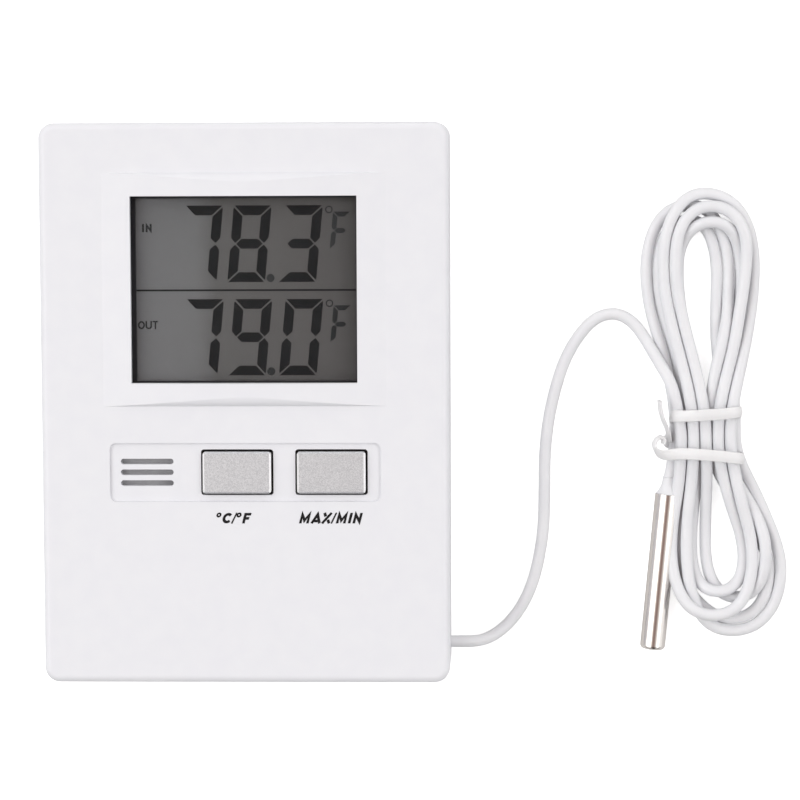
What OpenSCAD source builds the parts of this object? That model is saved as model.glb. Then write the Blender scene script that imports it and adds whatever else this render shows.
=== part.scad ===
// Digital maximum minimum thermometer with a wired probe.
// Millimetres. The body lies on its back: z = 0 is the surface it rests on, +Z points out of the display,
// +Y points to the top of the display and +X to its right. The origin is the middle of the back face.

/* [Body] */
// Width of the body
body_w = 80; // [78:1:90]
// Height of the body, from foot to top
body_h = 110; // [108:1:120]
// Depth of the body, without the bezel's rise
body_d = 20; // [20:0.5:22]
// Radius of the outline's corners
corner_r = 3; // [2.6:0.1:4]
// Radius of the rounded front and back edges
edge_r = 1.4; // [1:0.1:1.8]
// Thickness of the case's side walls
wall = 2; // [1.8:0.1:2.2]
// Height of the line where the two covers meet
split_z = 8; // [7.8:0.1:8.2]

/* [Display] */
// Width of the opening in front of the display
window_w = 44.2; // [42:0.1:45]
// Height of the opening in front of the display
window_h = 36.5; // [35:0.1:37]
// Distance of the display's centre above the body's centre
display_y = 22.5; // [22:0.1:23]
// Width of the arched bezel
bezel_w = 55.4; // [52:0.1:58]
// Height of the arched bezel
bezel_h = 45.6; // [42:0.1:46]
// Rise of the bezel's arch above the front face
arch_h = 1.2; // [0.8:0.1:1.6]

/* [Buttons] */
// Width of a button's cap
cap_w = 13.4; // [12:0.1:14]
// Height of a button's cap on the panel
cap_h = 8.2; // [7:0.1:8.6]
// Gap between a cap and its opening
cap_gap = 0.4; // [0.3:0.05:0.5]
// Travel of a button
travel = 0.8; // [0.4:0.1:0.8]
// Distance of the button row's centre below the body's centre
button_row = 13.3; // [13:0.1:14]

/* [Stand and door] */
// Width of the fold-out stand leg
leg_w = 26.2; // [22:0.1:28]
// Length of the leg from its hinge to its free end
leg_l = 50; // [44:1:50]
// Length of the battery door
door_l = 20; // [19.6:0.1:20.4]

/* [Probe and cord] */
// Diameter of the sensor cord
cord_d = 2.4; // [2.2:0.1:2.4]
// Diameter of the probe
probe_d = 5; // [4:0.1:5]
// Length of the probe's metal tube
probe_l = 31.5; // [28:0.5:32]
// Lean of the probe away from the body's long axis
probe_lean = 5.5; // [4:0.5:7]

/* [Hidden] */
$fn = 48;
eps = 0.01;
arch_fn = 720;

// Case
front_wall = 2;
back_wall = 1.8;
inner_w = body_w - 2 * wall;
inner_h = body_h - 2 * wall;
inner_r = corner_r - wall;
inner_top = body_d - front_wall;
lap_h = 1;
lap_t = 0.9;
lap_gap = 0.1;

// Bezel arch: a shallow cylinder whose axis runs along Y
arch_r = pow(bezel_w, 2) / (8 * arch_h) + arch_h / 2;
// The bezel's top and bottom edges roll down over this length, to the face
roll_l = 2;
roll_r = (pow(roll_l, 2) + pow(arch_h, 2)) / (2 * arch_h);
roll_turn = asin(roll_l / roll_r);
roll_steps = 10;

// Window pane, glued in a rebate behind the opening
pane_margin = 2;
pane_t = 1.2;
pane_w = window_w + 2 * pane_margin;
pane_h = window_h + 2 * pane_margin;
pane_fit = 0.1;
pane_top = inner_top + 1;
pane_z = pane_top - pane_t;

// Board and the stack of display layers on it
board_z = 11;
board_t = 1.6;
board_top = board_z + board_t;
board_w = 66;
board_low = -21;
board_high = 45;
board_mid = (board_low + board_high) / 2;
holder_w = 54;
holder_h = 45;
holder_lip = 0.5;
glass_w = 47.6;
glass_h = 39.6;
glass_t = 1.1;
glass_fit = 0.2;
film_t = 0.2;
film_inset = 0.8;
contact_ledge = 5;
polariser_z = pane_z - holder_lip - film_t;
front_glass_z = polariser_z - glass_t;
rear_glass_z = front_glass_z - glass_t;
reflector_z = rear_glass_z - film_t;
view_w = window_w - 1.2;
view_h = window_h - 0.8;
view_shift = [0.25, -0.1];
glass_low = display_y - glass_h / 2;
zebra_w = 42;
zebra_t = 2;
zebra_y = glass_low + contact_ledge / 2;

// Panel with the buttons and the vents
panel_w = 53.2;
panel_h = 11.6;
panel_r = 1.3;
panel_depth = 0.5;
panel_z = body_d - panel_depth;
unit_x = -1.6;
memory_x = 16.9;
vent_x = -19.3;
vent_l = 10.4;
vent_w = 1.1;
vent_pitch = 2.12;
cap_r = 0.6;
cap_rise = 1.3;
cap_bevel = 0.35;
cap_top = panel_z + cap_rise;
flange_over = 1.2;
flange_t = 0.85;
flange_gap = 0.05;
flange_z = inner_top - flange_gap - flange_t;

// Rubber domes under the buttons, with a carbon pill in each
dome_top = 16.2;
dome_base_r = 5;
dome_wall = 0.6;
dome_base_t = 0.6;
puck_r = 2.4;
pill_r = 1.6;
pill_t = 0.65;
pill_z = board_top + travel + 0.05;

// Screws
case_screw_x = 33.4;
case_screw_ys = [48.5, -33];
boss_r = 3;
boss_z = 6.5;
screw_r = 1.4;
screw_fit = 0.05;
screw_head_r = 2.7;
screw_head_t = 1.9;
screw_top = 14;
well_r = 2.9;
well_z = 3.5;
well_wall = 1.3;
board_screw_x = 30;
board_screw_ys = [41.5, -17.5];
board_screw_r = 0.9;
board_screw_head_r = 1.8;
board_screw_top = 16;
post_r = 2.4;

// Battery bay in the rear cover
cell_r = 5.1;
cell_l = 44.5;
nub_r = 1.9;
nub_l = 0.8;
cell_y = -44.4;
cell_z = 7.5;
cell_tip_x = 24.9;
bay_w = 52;
bay_h = 11.2;
bay_wall = 1.2;
bay_top = 13;
seat_t = 1.2;
seat_w = 62;
contact_t = 0.3;
contact_x = 25.4;
contact_size = 9;
contact_tab_w = 4;
contact_tab_z = 15;
contact_dimple_l = contact_x - cell_tip_x;
slot_fit = 0.1;
spring_wire_r = 0.35;
spring_turns = 4;
spring_r_big = 3.4;
spring_r_small = 1.8;

// Battery door, which slides off towards -Y
door_w = 55;
door_t = 1.6;
door_fit = 0.15;
door_top = -body_h / 2 + door_l;
tongue_w = 1.1;
tongue_z = 0.7;
tongue_t = 0.6;
tongue_l = 12;
tongue_end = 3;
grip_l = 12;
grip_w = 0.8;
grip_depth = 0.4;
grip_pitch = 1.8;

// Stand leg, hinged near the middle of the back
hinge_y = 24.5;
hinge_z = 1.7;
leg_t = 2.8;
hinge_pin_r = 1.2;
hinge_fit = 0.05;
hinge_pin_l = 1.4;
recess_gap = 0.3;
recess_end_gap = 0.8;
recess_z = 3.4;
recess_wall = 1.6;
heel_l = 3.4;
heel_t = 1.8;
heel_floor = hinge_z + 3.45;
heel_room = 0.7;
leg_pocket_w = 16;
leg_pocket_l = 30;
leg_pocket_y = -4;
leg_pocket_depth = 1.2;
scoop_w = 12;
scoop_l = 5;

// Keyhole for hanging on a screw
key_y = 42;
key_r = 4;
key_slot_r = 2.1;
key_slot_l = 6;

// Cord: where it leaves the case and how it is held inside
cord_r = cord_d / 2;
cord_exit_y = -48.6;
cord_hole_r = 1.3;
cord_sides = 8;
clamp_x = 33.5;
clamp_post_gap = 2.7;
clamp_post_r = 1.4;
clamp_screw_r = 0.7;
clamp_screw_fit = 0.05;
clamp_screw_head_r = 1.35;
clamp_screw_head_t = 0.9;
clamp_t = 1.4;
clamp_w = 3;
clamp_gap = 0.05;
clamp_z = split_z + cord_r + clamp_gap;
cradle_w = 2;

// Inner end of the cord, from the wall to where its two cores come out
lead_route = [
    [inner_w / 2, cord_exit_y, split_z], [34, cord_exit_y, split_z], [31.6, cord_exit_y, split_z],
    [30.2, -47.6, 8.2], [29.7, -45.6, 8.6], [29.6, -43, 9], [29.6, -41, 9.2]];
core_r = 0.4;
core_routes = [
    [[29.1, -40.8, 9.2], [28.6, -37, 10], [28.4, -32, 11.5], [28.2, -27, 13.5], [27.6, -22, 14],
     [27, -19.6, 13.6], [27, -19.4, 12.6]],
    [[30.1, -40.8, 9.2], [29, -37.8, 11], [27.4, -33, 13], [26, -27, 14.2], [25.2, -22, 14.2],
     [25, -19.6, 13.6], [25, -19.4, 12.6]]];
battery_lead_r = 0.5;
red_route = [
    [25, -44.4, 14.6], [24.4, -42, 15], [23, -36, 15], [21, -28, 14.8], [19.6, -22, 14.2],
    [19.2, -20, 13.6], [19.2, -19.8, 12.6]];
black_route = [
    [-25, -44.4, 14.6], [-24.6, -42, 15], [-23.6, -36, 15], [-22.6, -28, 14.8], [-22, -22, 14.2],
    [-21.8, -20, 13.6], [-21.8, -19.8, 12.6]];

// Free cord: its route on the surface, from inside the wall to the hank
lie_z = cord_r + 0.05;
cord_route = [
    [inner_w / 2, cord_exit_y, split_z], [40, cord_exit_y, split_z], [42, cord_exit_y, 7.8],
    [44.5, -48.8, 6.6], [47.2, -48.6, 4.4], [50, -47.2, 2.4], [52.4, -45, lie_z],
    [54.8, -41.4, lie_z], [56.6, -37, lie_z], [57.8, -32, lie_z], [58.6, -26, lie_z],
    [58.8, -19, lie_z], [58.9, -12, lie_z], [59.6, -5, lie_z], [61, 1.5, lie_z], [63, 7.5, lie_z],
    [65.8, 12.4, lie_z], [69.2, 16, lie_z], [73.2, 17.2, lie_z], [76.8, 15.4, lie_z],
    [80, 11.6, lie_z]];
tail_route = [[84.8, -12.6, 2.5], [84.4, -14.2, 2.5], [83.85, -16, 2.5], [83.68, -17.75, 2.5]];

// Hank: two lobes of folded cord, gathered where the tie holds them
hank_t = 7.2;
hank_z = 0.05;
hank_fn = 32;
upper_lobe = [[91.8, -10.4, 7], [90.2, 22, 11.6], [91, 33, 8.6]];
lower_lobe = [[93, -12, 6], [97, -33, 10], [97.6, -41, 7.2]];

// Twist tie: two wraps round the hank, joined at the left, with one free end
tie_w = 2.4;
tie_t = 0.8;
tie_ys = [-3.3, -11.3];
tie_x = 91.4;
tie_span = 16.6;
tie_h = 8.6;
tie_tail_l = 10;

// Probe: a closed metal tube, potted where the cord goes in
probe_r = probe_d / 2;
probe_top = [83.5, -19.6];
probe_wall = 0.3;
probe_end_r = 0.8;
boot_l = 1.8;
boot_plug_l = 4;
bead_r = 1.1;
bead_back = 4;

// Board parts
blob_r = 6;
blob_t = 1.4;
blob_at = [0, 18];
crystal_r = 1;
crystal_l = 6;
crystal_at = [14, 12];
chip_size = [1.6, 0.8, 0.55];
chip_at = [[-12, 8], [-12, 11], [-9, 4], [9, 4], [12, 26], [-14, 28], [16, -10], [-4, -12]];
sensor_bead_r = 0.9;
sensor_lead_r = 0.25;
sensor_lead_gap = 1;
sensor_z = 16.4;
screen_w = 12.6;
screen_h = 6.8;
screen_t = 0.3;

// ---- Shared shapes ----

// Rounded rectangle, centred
module outline(w, h, r) {
    square([w - 2 * r, h], center = true);
    square([w, h - 2 * r], center = true);
    for (x = [-1, 1], y = [-1, 1])
        translate([x * (w / 2 - r), y * (h / 2 - r)])
            circle(r);
}

// Slot with round ends, centred, running along X
module slot(l, w) {
    square([l - w, w], center = true);
    for (x = [-1, 1])
        translate([x * (l - w) / 2, 0])
            circle(w / 2);
}

// Quarter-round rim of one corner, as a small disc with a rounded top edge
module corner_disc(r, e) {
    rotate_extrude()
        union() {
            square([r - e, e]);
            intersection() {
                translate([r - e, 0])
                    circle(e);
                square([r, e]);
            }
        }
}

// Block on z = 0 with rounded upright corners and a rounded top edge
module rounded_block(w, h, d, r, e) {
    linear_extrude(d - e)
        outline(w, h, r);
    translate([0, 0, d - e]) {
        linear_extrude(e) {
            square([w - 2 * e, h - 2 * r], center = true);
            square([w - 2 * r, h - 2 * e], center = true);
        }
        intersection() {
            union() {
                for (x = [-1, 1])
                    translate([x * (w / 2 - e), 0, 0])
                        rotate([90, 0, 0])
                            cylinder(r = e, h = h - 2 * r, center = true);
                for (y = [-1, 1])
                    translate([0, y * (h / 2 - e), 0])
                        rotate([0, 90, 0])
                            cylinder(r = e, h = w - 2 * r, center = true);
            }
            translate([0, 0, e / 2])
                cube([w, h, e], center = true);
        }
        for (x = [-1, 1], y = [-1, 1])
            translate([x * (w / 2 - r), y * (h / 2 - r), 0])
                corner_disc(r, e);
    }
}

// The same block with its rounded edge underneath
module rounded_tray(w, h, d, r, e) {
    translate([0, 0, d])
        mirror([0, 0, 1])
            rounded_block(w, h, d, r, e);
}

// Points of a smooth curve through a route
function catmull(a, b, c, d, t) =
    0.5 * (2 * b + (c - a) * t + (2 * a - 5 * b + 4 * c - d) * t * t + (3 * b - a - 3 * c + d) * t * t * t);
function smooth(route, steps) = [
    for (i = [0 : len(route) - 2])
        for (k = [0 : steps - 1])
            catmull(route[max(i - 1, 0)], route[i], route[i + 1], route[min(i + 2, len(route) - 1)], k / steps),
    route[len(route) - 1]];
function unit(v) = v / norm(v);
function heading(path, i) = unit(path[min(i + 1, len(path) - 1)] - path[max(i - 1, 0)]);
function ring(path, i, r, sides, side_of) =
    let (t = heading(path, i), s = unit(cross(t, side_of)), n = cross(s, t))
    [for (k = [0 : sides - 1]) path[i] + r * (cos(360 * k / sides) * s + sin(360 * k / sides) * n)];

// Round tube along a path: side_of is a direction that the path never runs along
module sweep(path, r, sides, side_of = [0, 0, 1]) {
    last = len(path) - 1;
    points = [for (i = [0 : last]) each ring(path, i, r, sides, side_of)];
    walls = [
        for (i = [0 : last - 1])
            for (k = [0 : sides - 1])
                let (a = i * sides + k, b = i * sides + (k + 1) % sides)
                each [[a, b, b + sides], [a, b + sides, a + sides]]];
    first_cap = [for (k = [sides - 1 : -1 : 0]) k];
    last_cap = [for (k = [0 : sides - 1]) last * sides + k];
    polyhedron(points, concat(walls, [first_cap, last_cap]));
}

module at_case_screws() {
    for (x = [-1, 1], y = case_screw_ys)
        translate([x * case_screw_x, y, 0])
            children();
}

module at_board_screws() {
    for (x = [-1, 1], y = board_screw_ys)
        translate([x * board_screw_x, y, 0])
            children();
}

module at_clamp_screws() {
    for (y = [-1, 1])
        translate([clamp_x, cord_exit_y + y * clamp_post_gap, 0])
            children();
}

module at_display() {
    translate([0, display_y, 0])
        children();
}

module at_button(x) {
    translate([x, -button_row, 0])
        children();
}

// Cross recess for a screw's head
module cross_recess(size, depth) {
    for (a = [0, 90])
        rotate([0, 0, a])
            translate([0, 0, depth / 2])
                cube([size, size / 4, depth], center = true);
}

// Screw that points up, with its head's lowest face at z
module screw(z, head_r, head_t, shaft_r, top) {
    difference() {
        translate([0, 0, z])
            cylinder(r = head_r, h = head_t);
        translate([0, 0, z - eps])
            cross_recess(head_r * 1.2, head_t / 2);
    }
    translate([0, 0, z + head_t])
        cylinder(r = shaft_r, h = top - z - head_t);
}

// The hole that the cord leaves by, half in each cover
module cord_hole() {
    translate([inner_w / 2 - wall, cord_exit_y, split_z])
        rotate([0, 90, 0])
            cylinder(r = cord_hole_r, h = 3 * wall);
}

// ---- Case ----

// A point of the bezel's side view, where its edge rolls down to the face in short steps
function rolled(i, side) =
    let (a = i * roll_turn / roll_steps)
        [side * (bezel_h / 2 - roll_l + roll_r * sin(a)), front_wall + arch_h - roll_r * (1 - cos(a))];

module bezel() {
    at_display()
        intersection() {
            translate([0, 0, body_d + arch_h - arch_r])
                rotate([90, 0, 0])
                    cylinder(r = arch_r, h = bezel_h, center = true, $fn = arch_fn);
            translate([0, 0, inner_top])
                rotate([90, 0, 90])
                    linear_extrude(bezel_w, center = true)
                        polygon(concat(
                            [[bezel_h / 2, 0], [-bezel_h / 2, 0]],
                            [for (i = [roll_steps:-1:0]) rolled(i, -1)],
                            [for (i = [0:roll_steps]) rolled(i, 1)]));
        }
}

module front_shell() {
    difference() {
        translate([0, 0, split_z])
            rounded_block(body_w, body_h, body_d - split_z, corner_r, edge_r);
        translate([0, 0, split_z - eps])
            linear_extrude(inner_top - split_z + eps)
                outline(inner_w, inner_h, inner_r);
        translate([0, 0, split_z - eps])
            linear_extrude(lap_h + lap_gap + eps)
                outline(inner_w + 2 * (lap_t + lap_gap), inner_h + 2 * (lap_t + lap_gap), inner_r + lap_t);
    }
}

module front_cover() {
    color("whitesmoke")
        difference() {
            union() {
                front_shell();
                bezel();
                at_case_screws()
                    translate([0, 0, boss_z])
                        cylinder(r = boss_r, h = inner_top - boss_z + eps);
                at_board_screws()
                    translate([0, 0, board_top])
                        cylinder(r = post_r, h = inner_top - board_top + eps);
            }
            at_display() {
                linear_extrude(body_d + 2 * arch_h)
                    square([window_w, window_h], center = true);
                linear_extrude(pane_top)
                    square([pane_w + 2 * pane_fit, pane_h + 2 * pane_fit], center = true);
            }
            translate([0, -button_row, panel_z])
                linear_extrude(panel_depth + eps)
                    outline(panel_w, panel_h, panel_r);
            for (x = [unit_x, memory_x])
                at_button(x)
                    linear_extrude(body_d)
                        outline(cap_w + 2 * cap_gap, cap_h + 2 * cap_gap, cap_r);
            for (i = [-1, 0, 1])
                translate([vent_x, -button_row + i * vent_pitch, 0])
                    linear_extrude(body_d)
                        slot(vent_l, vent_w);
            at_case_screws()
                cylinder(r = screw_r + screw_fit, h = screw_top + 1);
            at_board_screws()
                cylinder(r = board_screw_r + screw_fit, h = board_screw_top + 1);
            cord_hole();
        }
}

module door_outline(fit) {
    translate([-door_w / 2 - fit, -body_h / 2 - eps])
        square([door_w + 2 * fit, door_l + fit + eps]);
}

module stand_tub() {
    half_w = leg_w / 2 + recess_gap + recess_wall;
    low = hinge_y - leg_l - recess_gap - recess_wall;
    high = hinge_y + heel_l + heel_room + recess_wall;
    translate([-half_w, low, 0])
        cube([2 * half_w, high - low, recess_z + back_wall / 2 + heel_room]);
    translate([-half_w, hinge_y - heel_l, 0])
        cube([2 * half_w, high - hinge_y + heel_l, heel_floor + recess_end_gap]);
}

module stand_recess() {
    half_w = leg_w / 2 + recess_gap;
    low = hinge_y - leg_l - recess_gap;
    high = hinge_y + heel_l + heel_room;
    translate([-half_w, low, -eps])
        cube([2 * half_w, high - low, recess_z + eps]);
    translate([-half_w, hinge_y - heel_room, -eps])
        cube([2 * half_w, high - hinge_y + heel_room, heel_floor + eps]);
    translate([-scoop_w / 2, low - scoop_l, -eps])
        cube([scoop_w, scoop_l + 1, back_wall / 2]);
    translate([-half_w - recess_wall - eps, hinge_y, hinge_z])
        rotate([0, 90, 0])
            cylinder(r = hinge_pin_r + hinge_fit, h = 2 * (half_w + recess_wall + eps));
}

module keyhole() {
    translate([0, key_y, -eps]) {
        cylinder(r = key_r, h = back_wall + 2 * eps);
        translate([-key_slot_r, 0, 0])
            cube([2 * key_slot_r, key_slot_l, back_wall + 2 * eps]);
        translate([0, key_slot_l, 0])
            cylinder(r = key_slot_r, h = back_wall + 2 * eps);
    }
}

module bay_block() {
    translate([-seat_w / 2, -inner_h / 2 - eps, 0])
        cube([seat_w, door_l - wall + 2, back_wall + seat_t]);
    translate([-bay_w / 2 - bay_wall, cell_y - bay_h / 2 - bay_wall, 0])
        cube([bay_w + 2 * bay_wall, bay_h + 2 * bay_wall, bay_top + bay_wall]);
}

module bay_cuts() {
    translate([0, 0, -eps])
        linear_extrude(back_wall + eps)
            door_outline(door_fit);
    translate([-bay_w / 2, cell_y - bay_h / 2, 0])
        cube([bay_w, bay_h, bay_top]);
    for (x = [-1, 1]) {
        translate([x * (contact_x + contact_t / 2), cell_y, bay_top])
            cube([contact_t + slot_fit, contact_tab_w + slot_fit, 4 * bay_wall], center = true);
        translate([x * (door_w / 2 + tongue_w / 2 + door_fit), -body_h / 2 + door_l / 2 - 1, tongue_z + tongue_t / 2])
            cube([tongue_w + 2 * door_fit, door_l - 2, tongue_t + door_fit], center = true);
    }
}

module clamp_seat() {
    at_clamp_screws()
        cylinder(r = clamp_post_r, h = clamp_z);
    translate([clamp_x - cradle_w / 2, cord_exit_y - clamp_post_gap, 0])
        cube([cradle_w, 2 * clamp_post_gap, split_z]);
}

module rear_cover() {
    color("white")
        difference() {
            union() {
                difference() {
                    rounded_tray(body_w, body_h, split_z, corner_r, edge_r);
                    translate([0, 0, back_wall])
                        linear_extrude(split_z)
                            outline(inner_w, inner_h, inner_r);
                }
                difference() {
                    linear_extrude(split_z + lap_h)
                        outline(inner_w + 2 * lap_t, inner_h + 2 * lap_t, inner_r + lap_t);
                    linear_extrude(split_z + 2 * lap_h)
                        outline(inner_w, inner_h, inner_r);
                    translate([0, 0, -eps])
                        linear_extrude(split_z - lap_h)
                            square([body_w, body_h], center = true);
                }
                at_case_screws()
                    translate([0, 0, eps])
                        cylinder(r = well_r + well_wall, h = boss_z - eps);
                bay_block();
                stand_tub();
                clamp_seat();
            }
            at_case_screws() {
                translate([0, 0, -eps])
                    cylinder(r = well_r, h = well_z + eps);
                cylinder(r = screw_r + 4 * screw_fit, h = split_z);
            }
            bay_cuts();
            stand_recess();
            keyhole();
            cord_hole();
            translate([clamp_x - cradle_w, cord_exit_y, split_z])
                rotate([0, 90, 0])
                    cylinder(r = cord_hole_r, h = 2 * cradle_w);
            at_clamp_screws()
                translate([0, 0, back_wall])
                    cylinder(r = clamp_screw_r + clamp_screw_fit, h = split_z);
        }
}

module battery_door() {
    color("white")
        difference() {
            union() {
                intersection() {
                    rounded_tray(body_w, body_h, split_z, corner_r, edge_r);
                    linear_extrude(door_t)
                        door_outline(0);
                }
                for (x = [-1, 1])
                    translate([
                        x * (door_w / 2 + tongue_w / 2 - eps), -body_h / 2 + tongue_end + tongue_l / 2,
                        tongue_z + tongue_t / 2])
                        cube([tongue_w, tongue_l, tongue_t], center = true);
            }
            for (i = [0 : 4])
                translate([-grip_l / 2, door_top - 4 - i * grip_pitch, -eps])
                    cube([grip_l, grip_w, grip_depth + eps]);
        }
}

module stand_leg() {
    color("white")
        difference() {
            union() {
                translate([-leg_w / 2, hinge_y - leg_l, hinge_z - leg_t / 2])
                    cube([leg_w, leg_l, leg_t]);
                translate([0, hinge_y, hinge_z])
                    rotate([0, 90, 0])
                        cylinder(r = leg_t / 2, h = leg_w, center = true);
                translate([-leg_w / 2, hinge_y, hinge_z - heel_t / 2])
                    cube([leg_w, heel_l, heel_t]);
                translate([0, hinge_y, hinge_z])
                    rotate([0, 90, 0])
                        cylinder(r = hinge_pin_r, h = leg_w + 2 * hinge_pin_l, center = true);
            }
            translate([0, leg_pocket_y, hinge_z - leg_t / 2 - eps])
                linear_extrude(leg_pocket_depth + eps)
                    outline(leg_pocket_w, leg_pocket_l, corner_r);
        }
}

// ---- Display ----

module display_window() {
    color([0.8, 0.85, 0.88, 0.35])
        at_display()
            translate([0, 0, pane_z])
                linear_extrude(pane_t)
                    square([pane_w, pane_h], center = true);
}

module lcd_holder() {
    color("dimgray")
        difference() {
            at_display()
                translate([0, 0, board_top])
                    linear_extrude(pane_z - board_top)
                        square([holder_w, holder_h - eps], center = true);
            at_display() {
                translate([0, 0, reflector_z])
                    linear_extrude(pane_z - holder_lip - reflector_z)
                        square([glass_w + 2 * glass_fit, glass_h + 2 * glass_fit], center = true);
                translate(view_shift)
                    linear_extrude(body_d)
                        square([view_w, view_h], center = true);
            }
            translate([0, zebra_y, 0])
                linear_extrude(front_glass_z)
                    square([zebra_w + 2 * glass_fit, zebra_t + 2 * glass_fit], center = true);
        }
}

module lcd_layer(w, h, z, t, low) {
    translate([-w / 2, low, z])
        cube([w, h, t]);
}

module lcd_front_polariser() {
    color("lightsteelblue")
        lcd_layer(glass_w - 2 * film_inset, glass_h - 2 * film_inset, polariser_z, film_t, glass_low + film_inset);
}

module lcd_front_glass() {
    color("lightgray")
        lcd_layer(glass_w, glass_h, front_glass_z, glass_t, glass_low);
}

module lcd_rear_glass() {
    color("lightgray")
        lcd_layer(glass_w, glass_h - contact_ledge, rear_glass_z, glass_t, glass_low + contact_ledge);
}

module lcd_reflector() {
    color("silver")
        lcd_layer(
            glass_w - 2 * film_inset, glass_h - contact_ledge - 2 * film_inset, reflector_z, film_t,
            glass_low + contact_ledge + film_inset);
}

module zebra_strip() {
    color("darkslategray")
        translate([-zebra_w / 2, zebra_y - zebra_t / 2, board_top])
            cube([zebra_w, zebra_t, front_glass_z - board_top]);
}

// ---- Board ----

module circuit_board() {
    color("darkgreen")
        difference() {
            translate([0, board_mid, board_z])
                linear_extrude(board_t)
                    outline(board_w, board_high - board_low, 1);
            at_board_screws()
                cylinder(r = board_screw_r + 4 * screw_fit, h = body_d);
        }
}

module chip_blob() {
    color("black")
        translate([blob_at[0], blob_at[1], board_z])
            mirror([0, 0, 1])
                rotate_extrude()
                    intersection() {
                        square([blob_r, blob_t]);
                        translate([0, blob_t - pow(blob_r, 2) / (2 * blob_t) - blob_t / 2])
                            circle(pow(blob_r, 2) / (2 * blob_t) + blob_t / 2, $fn = arch_fn);
                    }
}

module crystal() {
    color("silver")
        translate([crystal_at[0], crystal_at[1], board_z - crystal_r])
            rotate([-90, 0, 0])
                cylinder(r = crystal_r, h = crystal_l);
}

module board_components() {
    color("saddlebrown")
        for (p = chip_at)
            translate([p[0], p[1], board_z - chip_size[2]])
                cube(chip_size);
}

module room_sensor() {
    color("steelblue")
        translate([vent_x, -button_row, 0]) {
            translate([0, 0, sensor_z])
                sphere(sensor_bead_r);
            for (x = [-1, 1])
                translate([x * sensor_lead_gap / 2, 0, board_top])
                    cylinder(r = sensor_lead_r, h = sensor_z - board_top);
        }
}

// White felt that keeps dust out of the vents, glued to the wall behind them
module vent_screen() {
    color("white")
        translate([vent_x, -button_row, inner_top - screen_t])
            linear_extrude(screen_t)
                outline(screen_w, screen_h, cap_r);
}

// ---- Buttons ----

// Side view of a cap: a band with its two top corners cut off
module bevelled(w) {
    polygon([
        [-w / 2, 0], [w / 2, 0], [w / 2, cap_top - cap_bevel], [w / 2 - cap_bevel, cap_top],
        [-w / 2 + cap_bevel, cap_top], [-w / 2, cap_top - cap_bevel]]);
}

module button(x) {
    color("silver")
        at_button(x) {
            translate([0, 0, flange_z])
                linear_extrude(flange_t)
                    outline(cap_w + 2 * flange_over, cap_h + 2 * flange_over, cap_r);
            intersection() {
                translate([0, 0, flange_z])
                    linear_extrude(cap_top - flange_z)
                        outline(cap_w, cap_h, cap_r);
                rotate([90, 0, 0])
                    linear_extrude(cap_h, center = true)
                        bevelled(cap_w);
                rotate([90, 0, 90])
                    linear_extrude(cap_w, center = true)
                        bevelled(cap_h);
            }
            translate([0, 0, dome_top])
                cylinder(r = puck_r, h = flange_z - dome_top + eps);
        }
}

module button_unit() {
    button(unit_x);
}

module button_memory() {
    button(memory_x);
}

// Rubber dome: flat foot, conical skirt and solid puck, hollow round the pill
module dome(x) {
    color("lightgray")
        at_button(x)
            translate([0, 0, board_top])
                rotate_extrude()
                    polygon([
                        [0, pill_z + pill_t - board_top], [puck_r - dome_wall, pill_z + pill_t - board_top],
                        [dome_base_r - 3 * dome_wall, dome_base_t], [dome_base_r - 3 * dome_wall, 0],
                        [dome_base_r, 0], [dome_base_r, dome_base_t], [dome_base_r - 2 * dome_wall, dome_base_t],
                        [puck_r, pill_z + pill_t - board_top + dome_wall], [puck_r, dome_top - board_top],
                        [0, dome_top - board_top]]);
}

module dome_unit() {
    dome(unit_x);
}

module dome_memory() {
    dome(memory_x);
}

module carbon_pill(x) {
    color("black")
        at_button(x)
            translate([0, 0, pill_z])
                cylinder(r = pill_r, h = pill_t);
}

module carbon_pill_unit() {
    carbon_pill(unit_x);
}

module carbon_pill_memory() {
    carbon_pill(memory_x);
}

// ---- Battery ----

module battery_cell() {
    color("goldenrod")
        translate([cell_tip_x - cell_l, cell_y, cell_z])
            rotate([0, 90, 0]) {
                cylinder(r = cell_r, h = cell_l - nub_l);
                cylinder(r = nub_r, h = cell_l);
            }
}

// Contact plate at one end of the bay, with a tab that comes out of the roof
module contact_plate(side) {
    translate([side * (contact_x + contact_t / 2), cell_y, cell_z])
        cube([contact_t, contact_size, contact_size], center = true);
    translate([side * (contact_x + contact_t / 2), cell_y, (cell_z + contact_tab_z) / 2])
        cube([contact_t, contact_tab_w, contact_tab_z - cell_z], center = true);
}

module battery_contact_positive() {
    color("silver") {
        contact_plate(1);
        translate([cell_tip_x, cell_y, cell_z])
            rotate([0, 90, 0])
                cylinder(r = nub_r, h = contact_dimple_l + eps);
    }
}

module battery_contact_negative() {
    color("silver")
        contact_plate(-1);
}

function spring_point(a, x0, x1) =
    let (t = a / (360 * spring_turns), r = spring_r_big + (spring_r_small - spring_r_big) * t)
    [x0 + (x1 - x0) * t, cell_y + r * cos(a), cell_z + r * sin(a)];

module battery_spring() {
    x0 = -contact_x + spring_wire_r + eps;
    x1 = cell_tip_x - cell_l - spring_wire_r - eps;
    color("silver")
        sweep([for (a = [0 : 30 : 360 * spring_turns]) spring_point(a, x0, x1)], spring_wire_r, 6, [1, 0, 0]);
}

module red_lead() {
    color("red")
        sweep(smooth(red_route, 3), battery_lead_r, 6, [1, 0, 0]);
}

module black_lead() {
    color("black")
        sweep(smooth(black_route, 3), battery_lead_r, 6, [1, 0, 0]);
}

// ---- Cord inside the case ----

module sensor_lead() {
    color("white")
        sweep(smooth(lead_route, 3), cord_r, cord_sides);
}

module sensor_cores() {
    color("orange")
        for (route = core_routes)
            sweep(smooth(route, 3), core_r, 6, [1, 0, 0]);
}

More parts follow.
